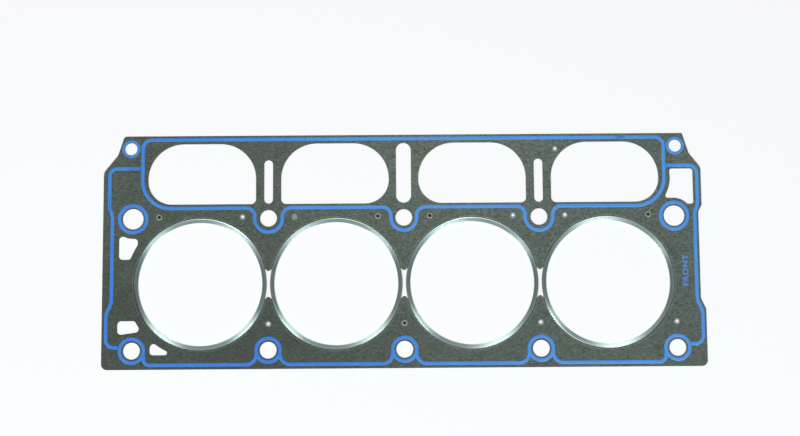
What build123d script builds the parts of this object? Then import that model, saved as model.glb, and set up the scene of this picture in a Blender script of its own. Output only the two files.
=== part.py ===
"""Cylinder head gasket for a bank of four bores.

A flat steel core carries a soft facing on each side. Each bore is edged by a folded stainless ring
with a flattened wire inside. Raised sealing beads are printed on both facings. Small eyelets and
closed rivets clamp the three layers together. All sizes are millimetres.

Frame: X along the row of bores, Y towards the valley edge, Z through the thickness. The origin is
the middle of the bore row at the middle of the core.
"""
from build123d import *
import math
import os

os.makedirs("parts", exist_ok=True)

# Bore row: the pitch follows from the bore, its fire ring and the gap between two rings
BORE_R = 50.80
RING_W = 3.70
BRIDGE_GAP = 2.76
FLANGE_R = BORE_R + RING_W
BORE_PITCH = 2 * FLANGE_R + BRIDGE_GAP
BORE_XS = [-1.5 * BORE_PITCH, -0.5 * BORE_PITCH, 0.5 * BORE_PITCH, 1.5 * BORE_PITCH]

# Layers
CORE_T = 0.50
FACING_T = 0.40
PRESS_DEPTH = 0.15
BEAD_H = 0.12

# Fire ring, folded from thin strip, with a flattened wire inside
STRIP_T = 0.20
LAND_RISE = 0.10
FOLD_R = 0.30
LAND_W = 2.30
BEVEL_W = 0.60
WIRE_W = 1.90
WIRE_SIDE_GAP = 0.05
WIRE_FACE_GAP = 0.02
WIRE_ROUND = 0.45

# How far the sheets reach in under the flange, and the pressed seat round it
CORE_UNDER = 0.90
FACING_UNDER = 0.55
SEAT_GAP = 0.45
SEAT_SLOPE = 0.20

# Bolt rows, five holes each; they stand just outside the tops of the fire rings
ROW_CLEAR = 0.10
BOLT_R = 6.95
DOWEL_R = 8.60
ROW_Y = FLANGE_R + ROW_CLEAR
END_X = 2 * BORE_PITCH
ROW_XS = [-END_X, -BORE_PITCH, 0.0, BORE_PITCH, END_X]

# Slots between the windows
MID_SLOT_W = 12.40
SIDE_SLOT_W = 7.30
SIDE_SLOT_L = 36.50
SLOT_SILL = 0.40
SLOT_HEAD = 0.10

# Valley windows above the bores
WINDOW_SILL = 11.90
WINDOW_H = 50.90
WINDOW_UPPER_R = 29.60
WINDOW_SIDE_FLAT = 1.60
WINDOW_SMALL_R = 4.20
SIDE_WEB = 6.73
MID_WEB = 5.98
WINDOW_BOTTOM = ROW_Y + WINDOW_SILL
WINDOW_TOP = WINDOW_BOTTOM + WINDOW_H
WINDOW_ROUND_R = WINDOW_H - WINDOW_UPPER_R - WINDOW_SIDE_FLAT
WINDOW_LONG_SIDE = BORE_PITCH / 2 - SIDE_SLOT_W / 2 - SIDE_WEB
WINDOW_ROUND_SIDE = BORE_PITCH / 2 - MID_SLOT_W / 2 - MID_WEB

# Outline: margins beyond the end holes, the windows and the lower row
TOP_RAIL = 6.75
BOTTOM_RAIL = 15.35
LEFT_MARGIN = 24.68
RIGHT_LOW_MARGIN = 24.18
RIGHT_MID_MARGIN = 20.08
RIGHT_HIGH_MARGIN = 22.98
RIGHT_STEP = (31.70, 40.20)
RIGHT_WAIST = (3.30, 8.80)
RIGHT_SHOULDER = 40.60
RIGHT_KNEE = (13.48, 16.95)
RIGHT_TOP = 8.38
LEFT_SHOULDER = 39.30
LEFT_KNEE = (13.08, 15.95)
LEFT_TOP = 7.98
FOOT_R = 4.70
STEP_R = 2.20
WAIST_R = 6.50
SHOULDER_R = 8.00
KNEE_R = 7.00
RIGHT_TOP_R = 1.20
LEFT_TOP_R = 3.20
TOP_Y = WINDOW_TOP + TOP_RAIL
BOTTOM_Y = -ROW_Y - BOTTOM_RAIL

# Small bolt holes in the upper corners
CORNER_R = 5.15
CORNER_OUT = 2.28
CORNER_DROP = 10.65
CORNER_X = END_X + CORNER_OUT
CORNER_Y = TOP_Y - CORNER_DROP

# Printed beads
BEAD_W = 2.90
THIN_BEAD_W = 2.10
BEAD_TOP_MARGIN = 3.20
BEAD_SIDE_IN = 7.52
BEAD_CORNER_R = 7.00
BEAD_WINDOW_GAP = 3.15
BEAD_SWEEP_R = 23.30
DIP_GAP = 4.50
MID_DIP_GAP = 3.70
DIP_FILLET_R = 7.00
LOWER_RUN_MARGIN = 3.60
BOLT_RING_GAP = 2.85
LOWER_FILLET_R = 8.20
END_FILLET_R = 5.30
BRANCH_RISE = 42.30
BRANCH_HIGH = 19.68
BRANCH_MID = 17.08
BRANCH_LOW = 21.28
BRANCH_CORNER_R = 6.20
HIGH_JOG = (11.00, 0.60)
LOW_JOG = (41.60, 28.10)
STUB_RISE = 2.80
STUB_R = 7.00
DOWEL_RING_GAP = 2.60
CORNER_RING_GAP = 1.35
DIP_R = BOLT_R + DIP_GAP
MID_DIP_R = BOLT_R + MID_DIP_GAP
BOLT_RING_R = BOLT_R + BOLT_RING_GAP
DOWEL_RING_R = DOWEL_R + DOWEL_RING_GAP
CORNER_RING_R = CORNER_R + CORNER_RING_GAP
BEAD_TOP_Y = TOP_Y - BEAD_TOP_MARGIN
BEAD_SIDE_X = END_X - BEAD_SIDE_IN
BEAD_RUN_Y = WINDOW_BOTTOM - BEAD_WINDOW_GAP
LOWER_RUN_Y = BOTTOM_Y + LOWER_RUN_MARGIN

# Coolant window at the right end, placed from the larger hole below it
RIGHT_WINDOW_OUT = 16.38
RIGHT_WINDOW_IN = 2.95
RIGHT_WINDOW_FOOT = 9.90
RIGHT_WINDOW_H = 29.75
RIGHT_WINDOW_WEB = 2.25
RIGHT_WINDOW_SWEEP = 4.80
RIGHT_WINDOW_R = 2.10

# Coolant openings at the left end, placed from the end holes and hugging bore 1
COOLANT_WEB = 6.90
LEFT_WINDOW_OUT = 11.38
LEFT_WINDOW_IN = 4.12
LEFT_WINDOW_DROP = 33.85
LEFT_WINDOW_WEB = 3.70
LEFT_WINDOW_R = 3.10
LOWER_WINDOW_OUT = 11.98
LOWER_WINDOW_TOP = 24.65
LOWER_WINDOW_LEFT_FOOT = 13.00
LOWER_WINDOW_RIGHT_FOOT = 16.60
LOWER_WINDOW_REACH = 13.52
LOWER_WINDOW_R = 3.10
CORNER_WINDOW_IN = 14.72
CORNER_WINDOW_DROP = 3.55
CORNER_WINDOW_RISE = 5.70
CORNER_WINDOW_FOOT_R = 2.80
CORNER_WINDOW_HEAD_R = 3.30
CORNER_WINDOW_TIP_R = 1.80

# Slots between neighbouring bores
BRIDGE_HALF = 12.40
BRIDGE_UNDER = 1.82
BRIDGE_TIP = 10.85
BRIDGE_TIP_R = 2.60

# Eyelets and rivets
EYELET_HOLE_R = 1.60
EYELET_FIT = 0.05
EYELET_WALL = 0.25
EYELET_RIM_R = 2.50
EYELET_RIM_T = 0.10
EYELET_DIP = 0.15
RIVET_WEB_T = 0.20
EYELET_DX = 34.40
EYELET_RISE = 1.40
EYELET_LOW_RISE = 21.65
TOP_EYELET_OUT = 14.24
TOP_EYELET_DROP = 12.45
EYELET_HIGH_Y = ROW_Y + EYELET_RISE
EYELET_LOW_Y = -ROW_Y + EYELET_LOW_RISE

BODY_Z = CORE_T / 2 + FACING_T


def rounded_polygon(corners):
    """Closed outline with straight sides; each corner is (x, y, radius of its rounding)."""
    face = Polygon(*[(x, y) for x, y, r in corners], align=None)
    for x, y, r in corners:
        if r > 0:
            near = face.vertices().sort_by_distance((x, y, 0))[0]
            face = fillet(near, r)
    return face


def round_off(face, corners):
    """Round the corners of a face that lie nearest the given points."""
    for x, y, r in corners:
        near = face.vertices().sort_by_distance((x, y, 0))[0]
        face = fillet(near, r)
    return face


def soften(face, r):
    """Round every outward corner of a face to one radius, by shrinking it and growing it back."""
    return offset(offset(face, -r, kind=Kind.ARC), r, kind=Kind.ARC)


def disc(x, y, r):
    return Pos(x, y) * Circle(r)


def block(x0, x1, y0, y1):
    return Pos((x0 + x1) / 2, (y0 + y1) / 2) * Rectangle(x1 - x0, y1 - y0)


def ring_of(profile_points):
    """Solid of revolution about Z from points (radius, z)."""
    face = make_face(Polyline(*[(r, 0, z) for r, z in profile_points], close=True))
    return revolve(face, Axis.Z, 360)


# Outline of the sheets
outline = rounded_polygon([
    (-END_X - LEFT_MARGIN, BOTTOM_Y, FOOT_R),
    (END_X + RIGHT_LOW_MARGIN, BOTTOM_Y, FOOT_R),
    (END_X + RIGHT_LOW_MARGIN, -ROW_Y + RIGHT_STEP[0], STEP_R),
    (END_X + RIGHT_MID_MARGIN, -ROW_Y + RIGHT_STEP[1], SHOULDER_R),
    (END_X + RIGHT_MID_MARGIN, ROW_Y + RIGHT_WAIST[0], WAIST_R),
    (END_X + RIGHT_HIGH_MARGIN, ROW_Y + RIGHT_WAIST[1], STEP_R),
    (END_X + RIGHT_HIGH_MARGIN, ROW_Y + RIGHT_SHOULDER, SHOULDER_R),
    (END_X + RIGHT_KNEE[0], TOP_Y - RIGHT_KNEE[1], KNEE_R),
    (END_X + RIGHT_TOP, TOP_Y, RIGHT_TOP_R),
    (-END_X - LEFT_TOP, TOP_Y, LEFT_TOP_R),
    (-END_X - LEFT_KNEE[0], TOP_Y - LEFT_KNEE[1], KNEE_R),
    (-END_X - LEFT_MARGIN, ROW_Y + LEFT_SHOULDER, SHOULDER_R),
])

# Valley windows: round lower corner towards the ends and the middle slot, small one by the side slots
openings = []
for i, bx in enumerate(BORE_XS):
    side = 1 if i % 2 == 0 else -1
    xl = bx + side * WINDOW_LONG_SIDE
    xr = bx - side * WINDOW_ROUND_SIDE
    openings.append(rounded_polygon([
        (xl, WINDOW_TOP, WINDOW_UPPER_R),
        (xr, WINDOW_TOP, WINDOW_UPPER_R),
        (xr, WINDOW_BOTTOM, WINDOW_ROUND_R),
        (xl, WINDOW_BOTTOM, WINDOW_SMALL_R),
    ]))

# Round-ended slots between the windows
slot_foot = WINDOW_BOTTOM + SLOT_SILL
mid_length = WINDOW_TOP - SLOT_HEAD - slot_foot
for x, w, length in ((-BORE_PITCH, SIDE_SLOT_W, SIDE_SLOT_L),
                     (0.0, MID_SLOT_W, mid_length),
                     (BORE_PITCH, SIDE_SLOT_W, SIDE_SLOT_L)):
    openings.append(Pos(x, slot_foot + length / 2) * Rot(0, 0, 90) * SlotOverall(length, w))

# Coolant window at the right end: round the printed ring of the hole below, along the bead's sweep
sweep_x = BEAD_SIDE_X - BEAD_SWEEP_R
sweep_y = BEAD_RUN_Y + BEAD_SWEEP_R
web_r = DOWEL_RING_R + BEAD_W / 2 + RIGHT_WINDOW_WEB
foot_y = ROW_Y + RIGHT_WINDOW_FOOT
right_window = block(BEAD_SIDE_X, END_X + RIGHT_WINDOW_OUT, foot_y, foot_y + RIGHT_WINDOW_H)
right_window -= block(sweep_x, END_X - RIGHT_WINDOW_IN, sweep_y, TOP_Y)
right_window -= disc(sweep_x, sweep_y, BEAD_SWEEP_R + RIGHT_WINDOW_SWEEP)
right_window -= disc(END_X, ROW_Y, web_r)
right_window -= block(sweep_x, END_X, ROW_Y, ROW_Y + web_r)
openings.append(soften(right_window, RIGHT_WINDOW_R))

# Coolant openings at the left end: beside bore 1, above the lower hole, and right of that hole
bore_1 = BORE_XS[0]
hug_r = FLANGE_R + COOLANT_WEB
left_edge = -END_X - LEFT_WINDOW_OUT
left_window = block(left_edge, -END_X + LEFT_WINDOW_IN, ROW_Y - LEFT_WINDOW_DROP, ROW_Y)
left_window -= disc(-END_X, ROW_Y, DOWEL_RING_R + BEAD_W / 2 + LEFT_WINDOW_WEB)
left_window -= disc(bore_1, 0.0, hug_r)
openings.append(soften(left_window, LEFT_WINDOW_R))

lower_window = Polygon(
    (-END_X - LOWER_WINDOW_OUT, -ROW_Y + LOWER_WINDOW_TOP),
    (-END_X + LOWER_WINDOW_REACH, -ROW_Y + LOWER_WINDOW_TOP),
    (-END_X + LOWER_WINDOW_REACH, -ROW_Y + LOWER_WINDOW_RIGHT_FOOT),
    (-END_X - LOWER_WINDOW_OUT, -ROW_Y + LOWER_WINDOW_LEFT_FOOT),
    align=None)
lower_window -= disc(bore_1, 0.0, hug_r)
openings.append(soften(lower_window, LOWER_WINDOW_R))

corner_edge = -END_X + CORNER_WINDOW_IN
corner_foot = -ROW_Y - CORNER_WINDOW_DROP
corner_head = -ROW_Y + CORNER_WINDOW_RISE
corner_window = block(corner_edge, bore_1, corner_foot, corner_head)
corner_window -= disc(bore_1, 0.0, hug_r)
corner_window = round_off(corner_window, [
    (corner_edge, corner_foot, CORNER_WINDOW_FOOT_R),
    (corner_edge, corner_head, CORNER_WINDOW_HEAD_R),
])
openings.append(soften(corner_window, CORNER_WINDOW_TIP_R))

# Slots between neighbouring bores; the sheets end in rounded tips
slot_half = BRIDGE_GAP / 2 + BRIDGE_UNDER
for x in (-BORE_PITCH, 0.0, BORE_PITCH):
    slot = block(x - slot_half, x + slot_half, -BRIDGE_HALF, BRIDGE_HALF)
    for s in (1, -1):
        slot -= disc(x, s * (BRIDGE_TIP + BRIDGE_TIP_R), BRIDGE_TIP_R)
    openings.append(slot)

# Bolt holes
for x in ROW_XS:
    openings.append(disc(x, -ROW_Y, BOLT_R))
for x in ROW_XS[1:4]:
    openings.append(disc(x, ROW_Y, BOLT_R))
for x in (ROW_XS[0], ROW_XS[4]):
    openings.append(disc(x, ROW_Y, DOWEL_R))
for x in (-CORNER_X, CORNER_X):
    openings.append(disc(x, CORNER_Y, CORNER_R))

# Eyelet and rivet places
open_spots = [(BORE_XS[0] + EYELET_DX, EYELET_HIGH_Y), (BORE_XS[2] + EYELET_DX, EYELET_HIGH_Y)]
open_spots += [(x, EYELET_LOW_Y) for x in ROW_XS[1:]]
open_spots += [(BORE_PITCH + TOP_EYELET_OUT, TOP_Y - TOP_EYELET_DROP)]
closed_spots = [(BORE_XS[0] - EYELET_DX, EYELET_HIGH_Y), (BORE_XS[2] - EYELET_DX, EYELET_HIGH_Y)]
closed_spots += [(BORE_XS[1] - EYELET_DX, EYELET_HIGH_Y), (BORE_XS[1] + EYELET_DX, EYELET_HIGH_Y)]
closed_spots += [(BORE_XS[3] - EYELET_DX, EYELET_HIGH_Y), (BORE_XS[3] + EYELET_DX, EYELET_HIGH_Y)]
for x, y in open_spots + closed_spots:
    openings.append(disc(x, y, EYELET_HOLE_R))

# Sheets
core_face = outline - openings - [disc(x, 0, FLANGE_R - CORE_UNDER) for x in BORE_XS]
facing_face = outline - openings - [disc(x, 0, FLANGE_R - FACING_UNDER) for x in BORE_XS]

core = Pos(0, 0, -CORE_T / 2) * extrude(core_face, CORE_T)
export_step(core, "parts/core_plate.step")

# Facing, pressed down in a seat round each fire ring
facing = Pos(0, 0, CORE_T / 2) * extrude(facing_face, FACING_T)
seat_z = BODY_Z - PRESS_DEPTH
seat_r = FLANGE_R + SEAT_GAP
seat = ring_of([
    (BORE_R, seat_z),
    (seat_r, seat_z),
    (seat_r + SEAT_SLOPE, BODY_Z),
    (seat_r + SEAT_SLOPE, BODY_Z + PRESS_DEPTH),
    (BORE_R, BODY_Z + PRESS_DEPTH),
])
facing -= [Pos(x, 0, 0) * seat for x in BORE_XS]
export_step(facing, "parts/upper_facing.step")
export_step(facing.rotate(Axis.X, 180).mirror(Plane.XZ), "parts/lower_facing.step")

# Fire rings: a folded channel with a raised land over the wire and a lower flange on the facing
flange_z = seat_z + STRIP_T
land_z = flange_z + LAND_RISE
inner_z = land_z - STRIP_T
land_r = BORE_R + LAND_W
bevel_r = land_r + BEVEL_W
half = [
    (BORE_R, land_z - FOLD_R),
    (BORE_R + 0.3 * FOLD_R, land_z - 0.3 * FOLD_R),
    (BORE_R + FOLD_R, land_z),
    (land_r, land_z),
    (bevel_r, flange_z),
    (FLANGE_R, flange_z),
    (FLANGE_R, seat_z),
    (bevel_r - LAND_RISE / 3, seat_z),
    (land_r - LAND_RISE / 3, inner_z),
    (BORE_R + STRIP_T, inner_z),
]
channel = ring_of(half + [(r, -z) for r, z in reversed(half)])

# Wire: flattened, with rounded sides
wire_r0 = BORE_R + STRIP_T + WIRE_SIDE_GAP
wire_z = inner_z - WIRE_FACE_GAP
wire_half = [
    (wire_r0, wire_z - WIRE_ROUND),
    (wire_r0 + 0.3 * WIRE_ROUND, wire_z - 0.3 * WIRE_ROUND),
    (wire_r0 + WIRE_ROUND, wire_z),
    (wire_r0 + WIRE_W - WIRE_ROUND, wire_z),
    (wire_r0 + WIRE_W - 0.3 * WIRE_ROUND, wire_z - 0.3 * WIRE_ROUND),
    (wire_r0 + WIRE_W, wire_z - WIRE_ROUND),
]
wire = ring_of(wire_half + [(r, -z) for r, z in reversed(wire_half)])
for i, x in enumerate(BORE_XS, start=1):
    export_step(Pos(x, 0, 0) * channel, f"parts/fire_ring_{i}.step")
    export_step(Pos(x, 0, 0) * wire, f"parts/wire_ring_{i}.step")


def jog(x0, y0, x1, y1):
    """Centre line that shifts sideways in two equal tangent arcs, from (x0, y0) down to (x1, y1)."""
    dx = x1 - x0
    dy = y1 - y0
    r = (dx * dx + dy * dy) / (4 * abs(dx))
    half_angle = math.asin(min(1.0, abs(dy) / 2 / r)) / 2
    mid = ((x0 + x1) / 2, (y0 + y1) / 2)
    side = 1 if dx > 0 else -1
    sag = r * (1 - math.cos(half_angle))
    reach = r * math.sin(half_angle)
    first = (x0 + side * sag, y0 - reach)
    second = (x1 - side * sag, y1 + reach)
    return [ThreePointArc((x0, y0), first, mid), ThreePointArc(mid, second, (x1, y1))]


def corner_arc(cx, cy, r, a0, a1):
    """Arc about (cx, cy) between two angles in degrees."""
    pts = [(cx + r * math.cos(math.radians(a)), cy + r * math.sin(math.radians(a)))
           for a in (a0, (a0 + a1) / 2, a1)]
    return ThreePointArc(*pts)


def tangent_reach(ring_r, fillet_r, drop):
    """Sideways distance from a ring centre to the centre of a fillet that touches ring and run."""
    return math.sqrt((ring_r + fillet_r) ** 2 - drop ** 2)


# Centre lines of the main bead
lines = []
corner_x = BEAD_SIDE_X - BEAD_CORNER_R
corner_y = BEAD_TOP_Y - BEAD_CORNER_R
lines.append(Line((-corner_x, BEAD_TOP_Y), (corner_x, BEAD_TOP_Y)))
for s in (-1, 1):
    lines.append(corner_arc(s * corner_x, corner_y, BEAD_CORNER_R, 90, 90 - s * 90))
    lines.append(Line((s * BEAD_SIDE_X, corner_y), (s * BEAD_SIDE_X, sweep_y)))
    lines.append(corner_arc(s * sweep_x, sweep_y, BEAD_SWEEP_R, -90, -90 + s * 90))

# Run under the windows, dipping round the three middle holes
run_x = -sweep_x
for x, dip_r in ((-BORE_PITCH, DIP_R), (0.0, MID_DIP_R), (BORE_PITCH, DIP_R)):
    fillet_y = BEAD_RUN_Y - DIP_FILLET_R
    rise = fillet_y - ROW_Y
    reach = tangent_reach(dip_r, DIP_FILLET_R, rise)
    tilt = math.degrees(math.asin(rise / (dip_r + DIP_FILLET_R)))
    lines.append(Line((run_x, BEAD_RUN_Y), (x - reach, BEAD_RUN_Y)))
    lines.append(corner_arc(x - reach, fillet_y, DIP_FILLET_R, 90, -tilt))
    lines.append(corner_arc(x, ROW_Y, dip_r, 180 - tilt, 360 + tilt))
    lines.append(corner_arc(x + reach, fillet_y, DIP_FILLET_R, 90, 180 + tilt))
    run_x = x + reach
lines.append(Line((run_x, BEAD_RUN_Y), (sweep_x, BEAD_RUN_Y)))

# Rings round the lower holes, joined by the run along the lower edge
for x in ROW_XS:
    lines.append(corner_arc(x, -ROW_Y, BOLT_RING_R, 0, 180))
    lines.append(corner_arc(x, -ROW_Y, BOLT_RING_R, 180, 360))
end_y = LOWER_RUN_Y + END_FILLET_R
end_x = END_X - BOLT_RING_R - END_FILLET_R
for s in (-1, 1):
    lines.append(Line((s * (end_x + END_FILLET_R), -ROW_Y), (s * (end_x + END_FILLET_R), end_y)))
    lines.append(corner_arc(s * end_x, end_y, END_FILLET_R, -90, -90 + s * 90))
run_x = -end_x
fillet_y = LOWER_RUN_Y + LOWER_FILLET_R
for x in (-BORE_PITCH, 0.0, BORE_PITCH):
    for side in (-1, 1):
        edge_x = x + side * BOLT_RING_R
        lines.append(Line((edge_x, -ROW_Y), (edge_x, fillet_y)))
        fillet_x = edge_x + side * LOWER_FILLET_R
        lines.append(corner_arc(fillet_x, fillet_y, LOWER_FILLET_R, -90, -90 - side * 90))
    reach = BOLT_RING_R + LOWER_FILLET_R
    lines.append(Line((run_x, LOWER_RUN_Y), (x - reach, LOWER_RUN_Y)))
    run_x = x + reach
lines.append(Line((run_x, LOWER_RUN_Y), (end_x, LOWER_RUN_Y)))

# Branches down both ends
for s in (-1, 1):
    hx = END_X + BRANCH_HIGH
    mx = END_X + BRANCH_MID
    lx = END_X + BRANCH_LOW
    branch_y = ROW_Y + BRANCH_RISE
    bend_y = branch_y - BRANCH_CORNER_R
    high = [ROW_Y + v for v in HIGH_JOG]
    low = [-ROW_Y + v for v in LOW_JOG]
    stub_y = -ROW_Y + STUB_RISE
    lines.append(Line((s * BEAD_SIDE_X, branch_y), (s * (hx - BRANCH_CORNER_R), branch_y)))
    lines.append(corner_arc(s * (hx - BRANCH_CORNER_R), bend_y, BRANCH_CORNER_R, 90, 90 - s * 90))
    lines.append(Line((s * hx, bend_y), (s * hx, high[0])))
    lines += jog(s * hx, high[0], s * mx, high[1])
    lines.append(Line((s * mx, high[1]), (s * mx, low[0])))
    lines += jog(s * mx, low[0], s * lx, low[1])
    lines.append(Line((s * lx, low[1]), (s * lx, stub_y + STUB_R)))
    lines.append(corner_arc(s * (lx - STUB_R), stub_y + STUB_R, STUB_R, -90, -90 + s * 90))
    lines.append(Line((s * (lx - STUB_R), stub_y), (s * (END_X + BOLT_RING_R), stub_y)))

bead_face = Sketch() + [trace(line, BEAD_W) for line in lines]
bead_face = bead_face.clean()
dowel_ring = Circle(DOWEL_RING_R + BEAD_W / 2) - Circle(DOWEL_RING_R - BEAD_W / 2)
corner_ring = Circle(CORNER_RING_R + THIN_BEAD_W / 2) - Circle(CORNER_RING_R - THIN_BEAD_W / 2)
for word, z in (("upper", BODY_Z), ("lower", -BODY_Z - BEAD_H)):
    export_step(Pos(0, 0, z) * extrude(bead_face, BEAD_H), f"parts/{word}_main_bead.step")
    for end, s in (("left", -1), ("right", 1)):
        at_dowel = Pos(s * END_X, ROW_Y, z)
        at_corner = Pos(s * CORNER_X, CORNER_Y, z)
        export_step(at_dowel * extrude(dowel_ring, BEAD_H), f"parts/{word}_{end}_dowel_bead.step")
        export_step(at_corner * extrude(corner_ring, BEAD_H), f"parts/{word}_{end}_corner_bead.step")

# Eyelets: a tube with a rolled rim on each facing. Rivets: the same with a web across the middle
tube_r = EYELET_HOLE_R - EYELET_FIT
rim_z = BODY_Z + EYELET_RIM_T
eyelet_half = [
    (tube_r - EYELET_WALL, BODY_Z - EYELET_DIP),
    (tube_r, rim_z),
    (EYELET_RIM_R - EYELET_DIP, rim_z),
    (EYELET_RIM_R, BODY_Z),
    (tube_r, BODY_Z),
]
eyelet = ring_of(eyelet_half + [(r, -z) for r, z in reversed(eyelet_half)])
rivet = eyelet + Pos(0, 0, -RIVET_WEB_T / 2) * Cylinder(tube_r - EYELET_WALL / 2, RIVET_WEB_T,
                                                        align=(Align.CENTER, Align.CENTER, Align.MIN))
export_step(Compound([Pos(x, y, 0) * eyelet for x, y in open_spots]), "parts/open_eyelets.step")
export_step(Compound([Pos(x, y, 0) * rivet for x, y in closed_spots]), "parts/closed_rivets.step")
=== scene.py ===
"""Visual model of a cylinder head gasket for four bores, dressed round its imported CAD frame.

Metres, in the frame's own axes: X along the row of bores, Y towards the valley edge, Z up.
Sizes below are in millimetres and are turned into metres by MM.
"""
import math

import bmesh
import bpy
import numpy as np
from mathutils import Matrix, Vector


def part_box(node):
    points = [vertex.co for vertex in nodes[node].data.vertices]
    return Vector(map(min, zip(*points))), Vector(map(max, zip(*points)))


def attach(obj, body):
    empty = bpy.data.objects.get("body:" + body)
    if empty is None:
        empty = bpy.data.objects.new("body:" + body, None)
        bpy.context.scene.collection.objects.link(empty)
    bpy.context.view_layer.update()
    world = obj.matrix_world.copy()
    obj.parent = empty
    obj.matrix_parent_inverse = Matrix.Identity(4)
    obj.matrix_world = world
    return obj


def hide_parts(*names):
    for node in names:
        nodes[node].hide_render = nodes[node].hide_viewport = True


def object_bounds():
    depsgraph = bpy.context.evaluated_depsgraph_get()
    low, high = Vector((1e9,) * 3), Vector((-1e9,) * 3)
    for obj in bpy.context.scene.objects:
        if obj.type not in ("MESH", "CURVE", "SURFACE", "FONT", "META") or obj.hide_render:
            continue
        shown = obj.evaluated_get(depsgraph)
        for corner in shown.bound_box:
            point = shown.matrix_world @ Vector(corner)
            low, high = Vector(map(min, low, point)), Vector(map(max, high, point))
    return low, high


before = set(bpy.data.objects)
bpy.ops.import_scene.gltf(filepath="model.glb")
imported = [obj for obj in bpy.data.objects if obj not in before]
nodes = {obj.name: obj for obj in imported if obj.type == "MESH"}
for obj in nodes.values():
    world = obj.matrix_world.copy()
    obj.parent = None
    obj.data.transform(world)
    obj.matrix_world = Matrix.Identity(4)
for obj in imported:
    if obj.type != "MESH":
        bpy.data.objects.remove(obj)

cad_low, cad_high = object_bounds()
MM = 0.001

# The camera
# A long lens held above the sheet, in front of its middle and tilted by nine degrees, so that the
# holes show a little of their far walls.
CAMERA_AT = (-10.56, -204.47, 1633.03)
CAMERA_TURN = (9.002, -0.193, -0.426)
LENS = 90.0
SENSOR_W = 36.0
CLIP = (10.0, 50000.0)

camera = bpy.data.objects.new("camera", bpy.data.cameras.new("camera"))
bpy.context.scene.collection.objects.link(camera)
bpy.context.scene.camera = camera
camera.data.lens = LENS
camera.data.sensor_width = SENSOR_W
camera.data.clip_start, camera.data.clip_end = [v * MM for v in CLIP]
camera.location = [v * MM for v in CAMERA_AT]
camera.rotation_euler = [math.radians(v) for v in CAMERA_TURN]
bpy.context.scene.view_settings.view_transform = "Standard"


# The bench and its light
# The sheet lies on a white bench, resting on the lands of its rings. Two soft boxes stand in front
# of it, left and right, and the pale room fills the shadows.
class Wire:
    """An output socket in a material. Arithmetic on it adds Math nodes; node() adds any other."""

    def __init__(self, tree, socket=None):
        self.tree = tree
        self.socket = socket

    def node(self, kind, settings=None, inputs=None, out=0):
        """Add a node, set its settings first, then set or link its inputs. Returns one output."""
        made = self.tree.nodes.new("ShaderNode" + kind)
        for name, value in (settings or {}).items():
            setattr(made, name, value)
        for name, value in (inputs or {}).items():
            if isinstance(value, Wire):
                self.tree.links.new(value.socket, made.inputs[name])
            else:
                made.inputs[name].default_value = value
        if made.outputs:
            return Wire(self.tree, made.outputs[out])
        return None

    def math(self, operation, *values):
        return self.node("Math", {"operation": operation}, dict(enumerate(values)))

    def __add__(self, other):
        return self.math("ADD", self, other)

    __radd__ = __add__

    def __sub__(self, other):
        return self.math("SUBTRACT", self, other)

    def __rsub__(self, other):
        return self.math("SUBTRACT", other, self)

    def __mul__(self, other):
        return self.math("MULTIPLY", self, other)

    __rmul__ = __mul__

    def __truediv__(self, other):
        return self.math("DIVIDE", self, other)

    def rise(self, low, high):
        """0 below low, 1 above high, an S-curve between. It falls instead if low is above high."""
        if low > high:
            return 1.0 - self.rise(high, low)
        return self.node("MapRange", {"interpolation_type": "SMOOTHSTEP"},
                         {"Value": self, "From Min": low, "From Max": high})

    def band(self, low, high, soft):
        """1 between low and high, 0 outside, with soft edges."""
        return self.rise(low - soft, low + soft) * self.rise(high + soft, high - soft)


def linear(red, green, blue):
    """Linear colour from screen values of 0 to 255."""
    share = np.array([red, green, blue]) / 255.0
    curve = np.where(share <= 0.04045, share / 12.92, ((share + 0.055) / 1.055) ** 2.4)
    return (*curve.tolist(), 1.0)


BACKDROP = linear(251, 252, 254)
ROOM_LIGHT = (0.22, 0.22, 0.22, 1.0)
BENCH_GLOW = 0.50
BENCH_HALF = 12000.0
FAR_BENCH = (600.0, 2500.0)
# Each soft box's place, side and power in watts
BOX_LIGHTS = {
    "right_box": ((659.0, -726.0, 2836.0), 600.0, 39.5),
    "left_box": ((-1174.0, -606.0, 2693.0), 600.0, 35.6),
}

world = bpy.data.worlds.new("room")
bpy.context.scene.world = world
world.use_nodes = True
world.node_tree.nodes.clear()
air = Wire(world.node_tree)


def looked_at(start):
    """1 for rays from the camera, a reflection or a clear piece, else 0."""
    path = start.tree.nodes.new("ShaderNodeLightPath")
    rays = [Wire(start.tree, path.outputs[name])
            for name in ("Is Camera Ray", "Is Glossy Ray", "Is Transmission Ray")]
    return start.math("MAXIMUM", start.math("MAXIMUM", rays[0], rays[1]), rays[2])


room = air.node("Mix", {"data_type": "RGBA"},
                {0: looked_at(air), 6: ROOM_LIGHT, 7: BACKDROP}, out=2)
air.node("OutputWorld", None, {"Surface": air.node("Background", None, {"Color": room})})

for name, (place, side, watts) in BOX_LIGHTS.items():
    box = bpy.data.objects.new(name, bpy.data.lights.new(name, "AREA"))
    bpy.context.scene.collection.objects.link(box)
    box.data.size = side * MM
    box.data.energy = watts
    box.location = [v * MM for v in place]
    towards = -box.location
    box.rotation_euler = towards.to_track_quat("-Z", "Y").to_euler()


def new_finish(name):
    """A new material, a Wire to add nodes with, and its Object coordinates in millimetres."""
    material = bpy.data.materials.new(name)
    material.use_nodes = True
    material.node_tree.nodes.clear()
    start = Wire(material.node_tree)
    place = start.node("TexCoord", out="Object")
    place = start.node("VectorMath", {"operation": "SCALE"}, {0: place, "Scale": 1 / MM})
    return material, start, place


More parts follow.
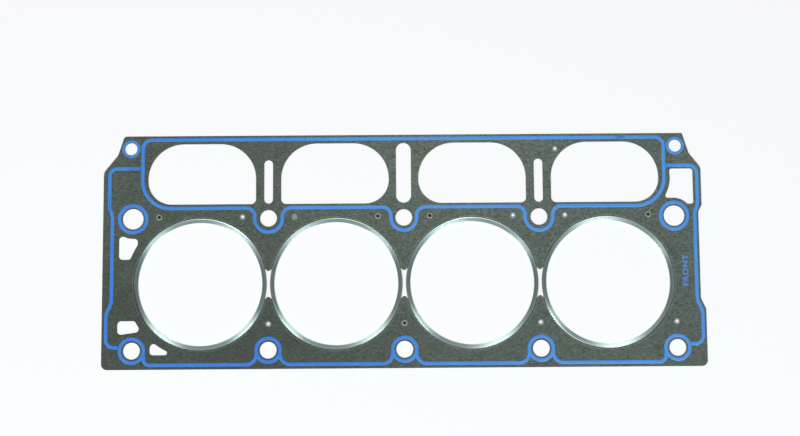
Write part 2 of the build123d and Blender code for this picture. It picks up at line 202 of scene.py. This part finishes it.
def put_mesh(name, vertices, faces, material):
    """A smooth-shaded object at the origin, from vertices in millimetres and lists of faces."""
    mesh = bpy.data.meshes.new(name)
    mesh.from_pydata((np.asarray(vertices) * MM).tolist(), [], faces)
    mesh.shade_smooth()
    mesh.materials.append(material)
    piece = bpy.data.objects.new(name, mesh)
    bpy.context.scene.collection.objects.link(piece)
    return piece


bench_paint, bench, bench_place = new_finish("bench_paint")
matt = bench.node("BsdfDiffuse", None, {"Color": BACKDROP})
glow = bench.node("Emission", None, {"Color": BACKDROP})
away = bench.node("VectorMath", {"operation": "LENGTH"}, {0: bench_place}, out="Value")
glow_share = looked_at(bench) * (BENCH_GLOW + (1.0 - BENCH_GLOW) * away.rise(*FAR_BENCH))
bench.node("OutputMaterial", None,
           {"Surface": bench.node("MixShader", None, {0: glow_share, 1: matt, 2: glow})})
bench_corners = [(x * BENCH_HALF, y * BENCH_HALF, cad_low.z / MM)
                 for x, y in ((-1, -1), (1, -1), (1, 1), (-1, 1))]
put_mesh("bench", bench_corners, [(0, 1, 2, 3)], bench_paint)


# Core plate
# A flat steel sheet, half a millimetre thick, punched with every opening. Only its cut edge shows,
# as a thin bright line in the walls of the holes and at the tips between the bores.
CORE_COLOUR = linear(168, 172, 170)


def noise(start, place, scale, detail=2.0, roughness=0.5, stretch=None, turn=0.0):
    """Soft noise about zero, from -0.5 to 0.5; scale counts features per millimetre."""
    if stretch:
        place = start.node("Mapping", {"vector_type": "POINT"}, {
            "Vector": place, "Rotation": (0.0, 0.0, math.radians(turn)), "Scale": stretch})
    value = start.node("TexNoise", None, {
        "Vector": place, "Scale": scale, "Detail": detail, "Roughness": roughness})
    return value - 0.5


def shaded(start, colour, tone):
    """A colour made lighter or darker by a number about one."""
    colour = colour if isinstance(colour, Wire) else colour[:3]
    return start.node("VectorMath", {"operation": "SCALE"}, {0: colour, "Scale": tone})


core_steel, core, core_place = new_finish("core_steel")
cut_marks = noise(core, core_place, 2.2, stretch=(1.0, 1.0, 0.2))
core.node("OutputMaterial", None, {"Surface": core.node("BsdfPrincipled", None, {
    "Base Color": shaded(core, CORE_COLOUR, 1.0 + 0.5 * cut_marks),
    "Metallic": 1.0,
    "Roughness": 0.42 + 0.2 * cut_marks,
})})


def dress(node, material):
    """Give a CAD node one material on all its faces."""
    node.data.materials.clear()
    node.data.materials.append(material)


dress(nodes["core_plate"], core_steel)

# Facings
# Grey-green composite sheet of fibre and filler, rolled onto both sides of the core. It has a fine
# pressed grain, darker specks, and a shiny line where the press ran round each ring: smoother,
# with a painted highlight on it. A painted shadow lies just outside each ring's flange, and
# painted light and shade run over the whole sheet.
LEFT_END_FACING = linear(87, 99, 89)
RIGHT_END_FACING = linear(87, 99, 92)
ring_boxes = [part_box(f"fire_ring_{i}") for i in (1, 2, 3, 4)]
RING_X = [(low.x + high.x) / 2 / MM for low, high in ring_boxes]
PITCH = RING_X[1] - RING_X[0]
FLANGE_R = (ring_boxes[0][1].x - ring_boxes[0][0].x) / 2 / MM
SEAT_SHADOW = (0.0, 0.55)
SEAT_HIGHLIGHT = (0.85, 1.35)
SEAT_SOFT = 0.12
# Where the painted light over the sheet changes: two stretches along x, and those of the painted
# shade at the lower edge along y and x
LIGHT_RISE_X = (-190.0, 40.0)
LIGHT_FALL_X = (60.0, 235.0)
EDGE_SHADE_Y = (100.0, -30.0)
EDGE_SHADE_END_X = (40.0, 220.0)
# Two patches of painted shade, then marks on the sheet; each a centre, the reach of an ellipse
# along x and y, and its soft share
LOW_SHADE_PATCH = ((-95.0, -55.0), (120.0, 62.0), 0.8)
HIGH_SHADE_PATCH = ((-150.0, 105.0), (130.0, 50.0), 0.8)
SMUDGE = ((207.2, -54.3), (5.0, 3.6), 0.8)
SCRATCH = ((105.8, 73.5), (2.6, 0.35), 0.5)
# Stretches of the ring edges where the painted shadow at the seat is deeper, each a centre and a
# reach
SHADOWED_SEATS = [((-214.4, -27.0), (26.0, 42.0)), ((-24.9, -44.2), (36.0, 30.0)),
              ((90.6, -41.4), (33.0, 30.0)), ((202.3, -41.4), (36.0, 34.0)),
              ((125.0, 33.2), (22.0, 22.0))]
STRETCH_SOFT = 0.7


def flat_place(start, place):
    """The x and y of a place, in millimetres."""
    split = start.tree.nodes.new("ShaderNodeSeparateXYZ")
    start.tree.links.new(place.socket, split.inputs[0])
    return [Wire(start.tree, out) for out in split.outputs[:2]]


def ring_distance(start, x, y):
    """Distance from the nearest bore's centre line: the root of (|x| - centre)^2 + y^2."""
    side = start.math("ABSOLUTE", x)
    near = start.math("ABSOLUTE", side - PITCH / 2)
    far = start.math("ABSOLUTE", side - 1.5 * PITCH)
    across = start.math("MINIMUM", near, far)
    return start.math("SQRT", across * across + y * y)


def spot(start, x, y, centre, reach, soft):
    """1 inside an ellipse about a point, fading out over its soft share."""
    dx = (x - centre[0]) / reach[0]
    dy = (y - centre[1]) / reach[1]
    return start.math("SQRT", dx * dx + dy * dy).rise(1.0, 1.0 - soft)


def painted_sheet_light(start, x, y):
    """Painted light over the sheet: painted shade at the left end, the most light right of the
    middle, and painted shade again along the lower edge and in two soft patches. 1 is the fully
    lit sheet."""
    light_along_x = 0.66 + 0.34 * x.rise(*LIGHT_RISE_X) - 0.16 * x.rise(*LIGHT_FALL_X)
    lower_edge_shade = y.rise(*EDGE_SHADE_Y) * (1.0 - 0.75 * x.rise(*EDGE_SHADE_END_X))
    low_shade_patch = spot(start, x, y, *LOW_SHADE_PATCH)
    high_shade_patch = spot(start, x, y, *HIGH_SHADE_PATCH)
    return light_along_x * (1.0 - 0.32 * lower_edge_shade) * (1.0 - 0.15 * low_shade_patch - 0.07 * high_shade_patch)


def stretches(start, x, y, places):
    """The listed stretches of the ring edges: the sum of soft ellipses about their middles."""
    total = spot(start, x, y, *places[0], STRETCH_SOFT)
    for centre, reach in places[1:]:
        total = total + spot(start, x, y, centre, reach, STRETCH_SOFT)
    return total


facing_sheet, sheet, sheet_place = new_finish("facing_sheet")
grain = noise(sheet, sheet_place, 1.15, detail=3.0, roughness=0.65)
fleck = noise(sheet, sheet_place, 0.42, detail=2.0)
weave_a = noise(sheet, sheet_place, 1.0, stretch=(0.35, 1.9, 1.0), turn=45.0)
weave_b = noise(sheet, sheet_place, 1.0, stretch=(0.35, 1.9, 1.0), turn=-45.0)
cloud = noise(sheet, sheet_place, 0.035, detail=3.0)
pepper = noise(sheet, sheet_place, 0.9, detail=1.0).rise(0.16, 0.26)
sheet_x, sheet_y = flat_place(sheet, sheet_place)
past_flange = ring_distance(sheet, sheet_x, sheet_y) - FLANGE_R
# Painted shadow: a dark band just outside each ring's flange, deeper along the listed stretches.
seat_shadow = past_flange.band(*SEAT_SHADOW, SEAT_SOFT)
# Painted highlight: a pale band beyond the shadow, where the pressed facing is also smoother.
seat_highlight = past_flange.band(*SEAT_HIGHLIGHT, SEAT_SOFT)
smudge = spot(sheet, sheet_x, sheet_y, *SMUDGE)
scratch = spot(sheet, sheet_x, sheet_y, *SCRATCH)
weave = weave_a + weave_b
tone = 1.0 + 2.2 * grain + 1.2 * fleck + 1.4 * weave + 0.4 * cloud - 0.3 * pepper
seat_shadow_stretches = stretches(sheet, sheet_x, sheet_y, SHADOWED_SEATS)
tone = tone * (1.0 - seat_shadow * (0.45 + 0.40 * seat_shadow_stretches)) * (1.0 + 0.7 * seat_highlight)
# Painted light and shade over the whole sheet scales the facing's tone.
tone = tone * (1.0 - 0.35 * smudge) * painted_sheet_light(sheet, sheet_x, sheet_y) + 0.8 * scratch
relief = grain + 0.8 * weave - 0.6 * pepper
# The facing's colour turns a little bluer from the left end towards the right.
facing_colour = sheet.node("Mix", {"data_type": "RGBA"},
                           {0: sheet_x.rise(-120.0, 150.0), 6: LEFT_END_FACING, 7: RIGHT_END_FACING}, out=2)
sheet_normal = sheet.node("Bump", None,
                          {"Strength": 0.35, "Distance": 0.05 * MM, "Height": relief})
sheet.node("OutputMaterial", None, {"Surface": sheet.node("BsdfPrincipled", None, {
    "Base Color": shaded(sheet, facing_colour, tone),
    "Roughness": 0.72 - 0.25 * seat_highlight + 0.3 * grain,
    "Normal": sheet_normal,
    "Specular IOR Level": 0.35,
})})
for name in ("upper_facing", "lower_facing"):
    dress(nodes[name], facing_sheet)

# Fire rings
# Thin stainless strip folded round the edge of each bore over a wire. The land over the wire
# stands a little proud, a bevel leads down to the flange on the facing, and its skin was turned.
BORE_R = 50.80
LAND_W = 2.30
BEVEL_W = 0.60
STRIP_T = 0.20
LAND_Z = 0.80
FLANGE_Z = 0.70
FOLD_R = 0.30
TIP_R = 0.06
RING_STEPS = 360
RING_COLOUR = linear(112, 126, 124)
TURNED_SOFT = 0.1
EDGE_SHADOW_SOFT = 0.2
# Zones of the skin: the first three from the bore outwards, the last two from the flange's edge
WALL_HIGHLIGHT_ZONE = (0.05, 0.30)
LIP_HIGHLIGHT_ZONE = (0.25, 0.75)
FLANGE_START = (1.6, 2.4)
EDGE_HIGHLIGHT_ZONE = (-0.55, 0.2)
EDGE_SHADOW_ZONE = (-0.9, 0.2)
# Bands across the whole row, in y: painted shade beside the bores' middles, painted highlights at
# the top and foot
SIDE_SHADE_Y = (12.0, 34.0)
TOP_HIGHLIGHT_Y = (15.0, 45.0)
FOOT_HIGHLIGHT_Y = (-15.0, -45.0)
# Stretches where the flange's edge carries a painted highlight, each a centre and a reach
HIGHLIGHTED_EDGES = [((-153.7, 52.2), (45.0, 30.0)), ((-46.5, 53.2), (30.0, 20.0)),
                ((65.3, 53.2), (38.0, 22.0)), ((131.5, -40.1), (28.0, 28.0))]


def turned(profile, centres, steps):
    """Rings turned about upright axes: a closed profile of (radius, height) goes round each
    centre. The point at angle a is (centre x + radius cos a, centre y + radius sin a, height)."""
    profile = np.asarray(profile)
    count = len(profile)
    angle = np.linspace(0.0, 2 * np.pi, steps, endpoint=False)
    radius = profile[:, :1]
    height = np.broadcast_to(profile[:, 1:], (count, steps))
    rings = []
    for x, y in centres:
        flat_x, flat_y = x + radius * np.cos(angle), y + radius * np.sin(angle)
        rings.append(np.stack([flat_x, flat_y, height], axis=-1))
    vertices = np.concatenate(rings).reshape(-1, 3)
    i, j = np.meshgrid(np.arange(count), np.arange(steps), indexing="ij")
    here, on = i * steps + j, i * steps + (j + 1) % steps
    up, up_on = (i + 1) % count * steps + j, (i + 1) % count * steps + (j + 1) % steps
    one = np.stack([here, on, up_on, up], axis=-1).reshape(-1, 4)
    faces = np.concatenate([one + k * count * steps for k in range(len(rings))])
    return vertices, faces.tolist()


def smooth(t):
    """S-curve from 0 to 1: three t squared less two t cubed."""
    t = np.clip(t, 0.0, 1.0)
    return t * t * (3 - 2 * t)


def ring_skin(radius):
    """Height of the ring's upper skin: flange, then an S-curve up the bevel to the land."""
    land_r = BORE_R + LAND_W
    return FLANGE_Z + (LAND_Z - FLANGE_Z) * smooth((land_r + BEVEL_W - radius) / BEVEL_W)


quarter = np.linspace(0.0, np.pi / 2, 9)
tip = np.stack([FLANGE_R - TIP_R + TIP_R * np.cos(quarter),
                FLANGE_Z - TIP_R + TIP_R * np.sin(quarter)], axis=1)
radii = np.linspace(FLANGE_R - 0.1, BORE_R + FOLD_R + 0.05, 40)
top = np.stack([radii, ring_skin(radii)], axis=1)
fold = np.stack([BORE_R + FOLD_R - FOLD_R * np.sin(quarter),
                 LAND_Z - FOLD_R + FOLD_R * np.cos(quarter)], axis=1)
inner_radii = np.linspace(BORE_R + STRIP_T, FLANGE_R, 14)
under = np.stack([inner_radii, ring_skin(inner_radii) - STRIP_T], axis=1)
outside = np.concatenate([tip, top, fold])
ring_profile = np.concatenate([outside, outside[::-1] * (1, -1), under[::-1] * (1, -1), under])

turned_steel, ring, ring_place = new_finish("turned_steel")
ring_x, ring_y = flat_place(ring, ring_place)
ring_r = ring_distance(ring, ring_x, ring_y)
past_bore = ring_r - BORE_R
past_edge = ring_r - FLANGE_R
lathe = ring.node("TexNoise", {"noise_dimensions": "1D"},
                  {"W": ring_r, "Scale": 5.0, "Detail": 3.0, "Roughness": 0.7}) - 0.5
bands = ring.node("TexNoise", {"noise_dimensions": "1D"},
                  {"W": ring_r, "Scale": 1.1, "Detail": 1.0}) - 0.5
worn = noise(ring, ring_place, 0.06, detail=3.0)
# Painted highlight along the fold at the bore: a band over the lip and a strong one at the wall.
lip_highlight = 1.0 - past_bore.rise(*LIP_HIGHLIGHT_ZONE)
wall_highlight = 1.0 - past_bore.rise(*WALL_HIGHLIGHT_ZONE)
# Painted shade on the bevel.
bevel = past_bore.band(LAND_W, LAND_W + BEVEL_W, TURNED_SOFT)
flange = past_bore.rise(*FLANGE_START)
# Painted highlight on the flange's edge along the listed stretches.
edge_highlight = past_edge.band(*EDGE_HIGHLIGHT_ZONE, TURNED_SOFT)
edge_highlight = edge_highlight * stretches(ring, ring_x, ring_y, HIGHLIGHTED_EDGES)
# Painted shadow at the flange's edge along the shadowed stretches of the seat.
edge_shadow = past_edge.band(*EDGE_SHADOW_ZONE, EDGE_SHADOW_SOFT) * stretches(ring, ring_x, ring_y, SHADOWED_SEATS)
# Painted shade beside each bore's middle, painted highlights at its top and foot.
side_shade = 1.0 - ring.math("ABSOLUTE", ring_y).rise(*SIDE_SHADE_Y)
top_highlight = ring_y.rise(*TOP_HIGHLIGHT_Y)
foot_highlight = ring_y.rise(*FOOT_HIGHLIGHT_Y)
ring_tone = 1.0 + 0.3 * lathe + 0.3 * bands + 0.3 * worn + 0.4 * lip_highlight + 2.4 * wall_highlight - 0.2 * bevel
ring_tone = ring_tone + 0.25 * flange + 2.6 * edge_highlight - 0.6 * edge_shadow
ring_tone = ring_tone - 0.29 * side_shade + 0.30 * top_highlight + 0.12 * foot_highlight
ring_normal = ring.node("Bump", None, {"Strength": 0.1, "Distance": 0.02 * MM, "Height": worn})
ring.node("OutputMaterial", None, {"Surface": ring.node("BsdfPrincipled", None, {
    "Base Color": shaded(ring, RING_COLOUR, ring_tone),
    "Metallic": 1.0,
    "Roughness": 0.33 + 0.06 * worn,
    "Anisotropic": 0.96,
    "Anisotropic Rotation": 0.25,
    "Normal": ring_normal,
})})
for i, x in enumerate(RING_X, start=1):
    folded = turned(ring_profile, [(x, 0.0)], RING_STEPS)
    piece = put_mesh(f"folded_ring_{i}", *folded, turned_steel)
    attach(piece, "root")
    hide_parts(f"fire_ring_{i}")

# Wires in the rings
# Soft steel wire, flattened in the press, closed in by each folded ring.
WIRE_COLOUR = linear(140, 143, 142)

wire_steel, wire, wire_place = new_finish("wire_steel")
drawn = noise(wire, wire_place, 0.8, stretch=(1.0, 1.0, 4.0))
wire.node("OutputMaterial", None, {"Surface": wire.node("BsdfPrincipled", None, {
    "Base Color": shaded(wire, WIRE_COLOUR, 1.0 + 0.4 * drawn),
    "Metallic": 1.0,
    "Roughness": 0.4 + 0.2 * drawn,
})})
for i in (1, 2, 3, 4):
    dress(nodes[f"wire_ring_{i}"], wire_steel)

# Printed beads
# Blue silicone, screen-printed on both facings as a low rounded line: a frame round the windows
# that dips round three bolt holes, rings round the lower holes joined by runs, and a branch at
# each end. The two larger holes and the two corner holes have rings of their own.
SHADED_BLUE = linear(49, 122, 212)
LIT_BLUE = linear(78, 149, 224)
BEAD_W = 2.90
THIN_BEAD_W = 2.10
bead_low, bead_high = [np.array(corner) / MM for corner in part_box("upper_main_bead")]
dowel_low, dowel_high = [np.array(corner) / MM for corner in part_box("upper_right_dowel_bead")]
corner_low, corner_high = [np.array(corner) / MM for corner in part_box("upper_right_corner_bead")]
BEAD_Z = bead_low[2]
BEAD_H = bead_high[2] - bead_low[2]
END_X, ROW_Y = (dowel_low[:2] + dowel_high[:2]) / 2
CORNER_X, CORNER_Y = (corner_low[:2] + corner_high[:2]) / 2
DOWEL_RING_R = (dowel_high[0] - dowel_low[0] - BEAD_W) / 2
CORNER_RING_R = (corner_high[0] - corner_low[0] - THIN_BEAD_W) / 2
TOP_RUN_Y = bead_high[1] - BEAD_W / 2
LOWER_RUN_Y = bead_low[1] + BEAD_W / 2
SIDE_X = END_X - 7.52
FRAME_RUN_Y = ROW_Y + 8.75
FRAME_CORNER_R = 7.0
SWEEP_R = 23.3
DIP_R = 11.45
MIDDLE_DIP_R = 10.65
DIP_FILLET_R = 7.0
LOWER_RING_R = 9.8
LOWER_FILLET_R = 8.2
END_FILLET_R = 5.3
BRANCH_Y = ROW_Y + 42.3
BRANCH_HIGH_X = END_X + 19.68
BRANCH_MID_X = END_X + 17.08
BRANCH_LOW_X = END_X + 21.28
BRANCH_CORNER_R = 6.2
HIGH_JOG_Y = (ROW_Y + 11.0, ROW_Y + 0.6)
LOW_JOG_Y = (-ROW_Y + 41.6, -ROW_Y + 28.1)
STUB_Y = -ROW_Y + 2.8
STUB_R = 7.0
TUCKED_Y = -ROW_Y + 0.2
LAID_UNDER = 0.94
ACROSS = np.sin(np.linspace(-np.pi / 2, np.pi / 2, 13))
ARC_STEP = 28
JOG_STEPS = 15
# Faults of the print, each a centre, the reach of an ellipse along x and y, and its soft share
THIN_TOP = ((180.4, 121.0), (6.0, 1.6), 0.7)
LEFT_STREAK = ((-243.2, 60.0), (0.8, 21.0), 0.6)


def arc(x, y, radius, start, stop):
    """Points (x + radius cos a, y + radius sin a) for a from start to stop in degrees. Each step
    turns by ARC_STEP degrees over the radius."""
    count = max(3, int(abs(stop - start) * radius / ARC_STEP))
    angle = np.radians(np.linspace(start, stop, count))
    return np.stack([x + radius * np.cos(angle), y + radius * np.sin(angle)], axis=1)


def jog(x0, x1, y0, y1):
    """Points that go down from y0 to y1 while x moves from x0 to x1 along an S-curve."""
    t = np.linspace(0.0, 1.0, JOG_STEPS)
    return np.stack([x0 + (x1 - x0) * smooth(t), y0 + (y1 - y0) * t], axis=1)


def printed(paths, width, side):
    """Low rounded beads on one facing: at each point of a path the section runs across it from one
    edge to the other, and its height is the bead's height times (1 - across^4)^(1/2). An open run
    is a little lower, so that its ends pass under the ring or the frame that they join."""
    vertices, faces, first = [], [], 0
    for path, closed in paths:
        step = np.linalg.norm(np.diff(path, axis=0), axis=1)
        path = path[np.concatenate([[True], step > 1e-6])]
        if closed:
            ahead = np.roll(path, -1, axis=0) - np.roll(path, 1, axis=0)
        else:
            ahead = np.gradient(path, axis=0)
        ahead /= np.linalg.norm(ahead, axis=1)[:, None]
        left = np.stack([-ahead[:, 1], ahead[:, 0]], axis=1)
        flat = path[:, None, :] + left[:, None, :] * ACROSS[None, :, None] * width / 2
        height = (BEAD_H if closed else LAID_UNDER * BEAD_H) * np.sqrt(1.0 - ACROSS ** 4)
        z = side * (BEAD_Z + np.broadcast_to(height, flat.shape[:2]))
        count, across = flat.shape[:2]
        vertices.append(np.concatenate([flat, z[..., None]], axis=2).reshape(-1, 3))
        rows = count if closed else count - 1
        i, j = np.meshgrid(np.arange(rows), np.arange(across), indexing="ij")
        on, over = (i + 1) % count, (j + 1) % across
        quads = np.stack([i * across + j, on * across + j, on * across + over, i * across + over],
                         axis=-1)
        quads = first + quads.reshape(-1, 4)
        ends = []
        if not closed:
            last = first + (count - 1) * across
            ends = [list(range(first, first + across)), list(range(last, last + across))[::-1]]
        faces += [face[::side] for face in quads.tolist() + ends]
        first += count * across
    return np.concatenate(vertices), faces


frame_path = [arc(SIDE_X - FRAME_CORNER_R, TOP_RUN_Y - FRAME_CORNER_R, FRAME_CORNER_R, 90, 0),
              arc(SIDE_X - SWEEP_R, FRAME_RUN_Y + SWEEP_R, SWEEP_R, 0, -90)]
for x, dip_r in ((PITCH, DIP_R), (0.0, MIDDLE_DIP_R), (-PITCH, DIP_R)):
    fillet_y = FRAME_RUN_Y - DIP_FILLET_R
    reach_x = math.sqrt((dip_r + DIP_FILLET_R) ** 2 - (fillet_y - ROW_Y) ** 2)
    tilt = math.degrees(math.asin((fillet_y - ROW_Y) / (dip_r + DIP_FILLET_R)))
    frame_path += [arc(x + reach_x, fillet_y, DIP_FILLET_R, 90, 180 + tilt),
                   arc(x, ROW_Y, dip_r, tilt, -180 - tilt),
                   arc(x - reach_x, fillet_y, DIP_FILLET_R, -tilt, 90)]
frame_path += [arc(-SIDE_X + SWEEP_R, FRAME_RUN_Y + SWEEP_R, SWEEP_R, 270, 180),
               arc(-SIDE_X + FRAME_CORNER_R, TOP_RUN_Y - FRAME_CORNER_R, FRAME_CORNER_R, 180, 90)]
main_paths = [(np.concatenate(frame_path), True)]
row_x = [-END_X, -PITCH, 0.0, PITCH, END_X]
for x in row_x:
    main_paths.append((arc(x, -ROW_Y, LOWER_RING_R, 0, 360)[:-1], True))
for k in range(4):
    left_r = END_FILLET_R if k == 0 else LOWER_FILLET_R
    right_r = END_FILLET_R if k == 3 else LOWER_FILLET_R
    x0, x1 = row_x[k] + LOWER_RING_R, row_x[k + 1] - LOWER_RING_R
    main_paths.append((np.concatenate([
        [(x0, TUCKED_Y)],
        arc(x0 + left_r, LOWER_RUN_Y + left_r, left_r, 180, 270),
        arc(x1 - right_r, LOWER_RUN_Y + right_r, right_r, 270, 360),
        [(x1, TUCKED_Y)]]), False))
for s in (-1, 1):
    branch = np.concatenate([
        [(SIDE_X, BRANCH_Y)],
        arc(BRANCH_HIGH_X - BRANCH_CORNER_R, BRANCH_Y - BRANCH_CORNER_R, BRANCH_CORNER_R, 90, 0),
        jog(BRANCH_HIGH_X, BRANCH_MID_X, *HIGH_JOG_Y),
        jog(BRANCH_MID_X, BRANCH_LOW_X, *LOW_JOG_Y),
        arc(BRANCH_LOW_X - STUB_R, STUB_Y + STUB_R, STUB_R, 0, -90),
        [(END_X + LOWER_RING_R, STUB_Y)]])
    main_paths.append((branch * (s, 1), False))

bead_print, print_, print_place = new_finish("bead_print")
mesh_marks = noise(print_, print_place, 1.6, detail=2.0)
flow = noise(print_, print_place, 0.03, detail=3.0)
print_x, print_y = flat_place(print_, print_place)
thin_top = spot(print_, print_x, print_y, *THIN_TOP)
left_streak = spot(print_, print_x, print_y, *LEFT_STREAK)
print_tone = 1.0 + 0.22 * mesh_marks + 0.15 * flow - 0.35 * thin_top - 0.3 * left_streak
# The blue follows the painted light over the sheet: deeper where it is shaded, paler where lit.
blue_light_share = (painted_sheet_light(print_, print_x, print_y) + 0.3 * flow).rise(0.36, 1.02)
blue = print_.node("Mix", {"data_type": "RGBA"}, {0: blue_light_share, 6: SHADED_BLUE, 7: LIT_BLUE}, out=2)
print_normal = print_.node("Bump", None,
                           {"Strength": 0.3, "Distance": 0.03 * MM, "Height": mesh_marks})
print_.node("OutputMaterial", None, {"Surface": print_.node("BsdfPrincipled", None, {
    "Base Color": shaded(print_, blue, print_tone),
    "Roughness": 0.30 + 0.15 * mesh_marks,
    "Specular IOR Level": 0.25,
    "Normal": print_normal,
})})
for word, side in (("upper", 1), ("lower", -1)):
    prints = [("main", main_paths, BEAD_W)]
    for end, s in (("left", -1), ("right", 1)):
        dowel_path = arc(s * END_X, ROW_Y, DOWEL_RING_R, 0, 360)[:-1]
        corner_path = arc(s * CORNER_X, CORNER_Y, CORNER_RING_R, 0, 360)[:-1]
        prints.append((f"{end}_dowel", [(dowel_path, True)], BEAD_W))
        prints.append((f"{end}_corner", [(corner_path, True)], THIN_BEAD_W))
    for part, paths, width in prints:
        piece = put_mesh(f"{word}_{part}_print", *printed(paths, width, side), bead_print)
        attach(piece, "root")
        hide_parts(f"{word}_{part}_bead")

# Eyelets and rivets
# Small tinned steel eyelets that hold the three layers together. Each is a short tube with both
# ends rolled outwards. The closed ones keep a web across the middle and look like a dark pit.
EYELET_DX = 34.40
EYELET_HIGH_Y = ROW_Y + 1.4
EYELET_LOW_Y = -ROW_Y + 21.65
TOP_EYELET = (PITCH + 14.24, 111.7)
TUBE_R = 1.30
RIM_R = 2.50
RIM_Z = 0.75
BODY_Z = 0.65
TUBE_T = 0.25
TUBE_FOOT = 0.45
THROAT_DROP = 0.15
FLARE_SINK = 0.02
# Radius and height of a rivet's web, from its rim down into the dent in its middle
WEB_DENT = [(TUBE_R + 0.1, 0.10), (0.9, 0.06), (0.45, 0.03), (0.01, 0.03)]
EYELET_STEPS = 48
WEB_STEPS = 32
EYELET_COLOUR = linear(104, 112, 108)
PIT_COLOUR = linear(120, 124, 122)
GREY_PIT = ((RING_X[1] - EYELET_DX, EYELET_HIGH_Y), (6.0, 6.0), 0.2)
turn_over = np.linspace(0.0, 1.0, 14)
flare_r = TUBE_R + (RIM_R - TUBE_R) * turn_over
rolled = np.sin(np.pi * np.clip(turn_over * 1.05, 0, 1)) ** 0.6
flare_z = BODY_Z - FLARE_SINK + (RIM_Z - BODY_Z + FLARE_SINK) * rolled
flare_z[0] = BODY_Z - THROAT_DROP
flare = np.stack([flare_r, flare_z], axis=1)
tube = np.array([[TUBE_R + TUBE_T, TUBE_FOOT], [TUBE_R + TUBE_T, BODY_Z - 0.01],
                 [RIM_R - 0.05, BODY_Z - 0.01]])
eyelet_profile = np.concatenate([flare[::-1], flare * (1, -1), tube[::-1] * (1, -1), tube])
web = np.array(WEB_DENT)
web_profile = np.concatenate([web, web[::-1] * (1, -1)])

tinned, eye, eye_place = new_finish("tinned_steel")
dents = noise(eye, eye_place, 1.3, detail=2.0)
eye.node("OutputMaterial", None, {"Surface": eye.node("BsdfPrincipled", None, {
    "Base Color": shaded(eye, EYELET_COLOUR, 1.0 + 0.5 * dents),
    "Metallic": 1.0,
    "Roughness": 0.45 + 0.2 * dents,
})})

pit_steel, pit, pit_place = new_finish("pit_steel")
pit_x, pit_y = flat_place(pit, pit_place)
pit_dents = noise(pit, pit_place, 1.3, detail=2.0)
# All webs but the one in GREY_PIT are coloured nearly black and not metallic.
dark_web = 1.0 - spot(pit, pit_x, pit_y, *GREY_PIT)
pit_tone = (1.0 + 0.4 * pit_dents) * (1.0 - 0.96 * dark_web)
pit.node("OutputMaterial", None, {"Surface": pit.node("BsdfPrincipled", None, {
    "Base Color": shaded(pit, PIT_COLOUR, pit_tone),
    "Metallic": 1.0 - dark_web,
    "Specular IOR Level": 0.2,
    "Roughness": 0.5 + 0.2 * pit_dents,
})})
high_left = [(x - EYELET_DX, EYELET_HIGH_Y) for x in RING_X]
high_right = [(x + EYELET_DX, EYELET_HIGH_Y) for x in RING_X]
low_spots = [(x, EYELET_LOW_Y) for x in row_x[1:]]
open_spots = [high_left[3], high_right[0], high_right[2],
              low_spots[0], *low_spots[2:], TOP_EYELET]
closed_spots = [*high_left[:3], high_right[1], high_right[3], low_spots[1]]
for name, node, spots in (("rolled_eyelets", "open_eyelets", open_spots),
                          ("rolled_rivets", "closed_rivets", closed_spots)):
    piece = put_mesh(name, *turned(eyelet_profile, spots, EYELET_STEPS), tinned)
    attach(piece, "root")
    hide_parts(node)
webs = put_mesh("rivet_webs", *turned(web_profile, closed_spots, WEB_STEPS), pit_steel)
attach(webs, "root")

# The word at the front end
# Printed with the beads in the same blue, so that the fitter knows which end faces forward. It
# reads upwards, from the bottom of the sheet to the top.
WORD_START = (233.95, -3.6)
WORD_LENGTH = 25.7
WORD_HEIGHT = 4.7
WORD_RISE = 0.07
LETTER_DEPTH = 0.01
LETTER_WEIGHT = 0.02
LETTER_SPACING = 1.12
WELD = 0.001

letters = bpy.data.curves.new("front_word", "FONT")
letters.body = "FRONT"
letters.extrude = LETTER_DEPTH
letters.offset = LETTER_WEIGHT
letters.space_character = LETTER_SPACING
lettering = bpy.data.objects.new("front_word", letters)
bpy.context.scene.collection.objects.link(lettering)
bpy.context.view_layer.update()
word_mesh = bpy.data.meshes.new_from_object(lettering)
bpy.data.objects.remove(lettering)
flat = np.zeros(len(word_mesh.vertices) * 3)
word_mesh.vertices.foreach_get("co", flat)
flat = flat.reshape(-1, 3)
low, high = flat.min(0), flat.max(0)
share = (flat - low) / (high - low)
placed = np.stack([WORD_START[0] - WORD_HEIGHT * share[:, 1],
                   WORD_START[1] + WORD_LENGTH * share[:, 0],
                   BODY_Z + WORD_RISE * share[:, 2]], axis=1)
word_mesh.vertices.foreach_set("co", (placed * MM).ravel())
skin = bmesh.new()
skin.from_mesh(word_mesh)
bmesh.ops.remove_doubles(skin, verts=skin.verts, dist=WELD * MM)
bmesh.ops.recalc_face_normals(skin, faces=skin.faces)
skin.to_mesh(word_mesh)
skin.free()
word_mesh.materials.clear()
word_mesh.materials.append(bead_print)
word = bpy.data.objects.new("front_word_print", word_mesh)
bpy.context.scene.collection.objects.link(word)
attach(word, "root")
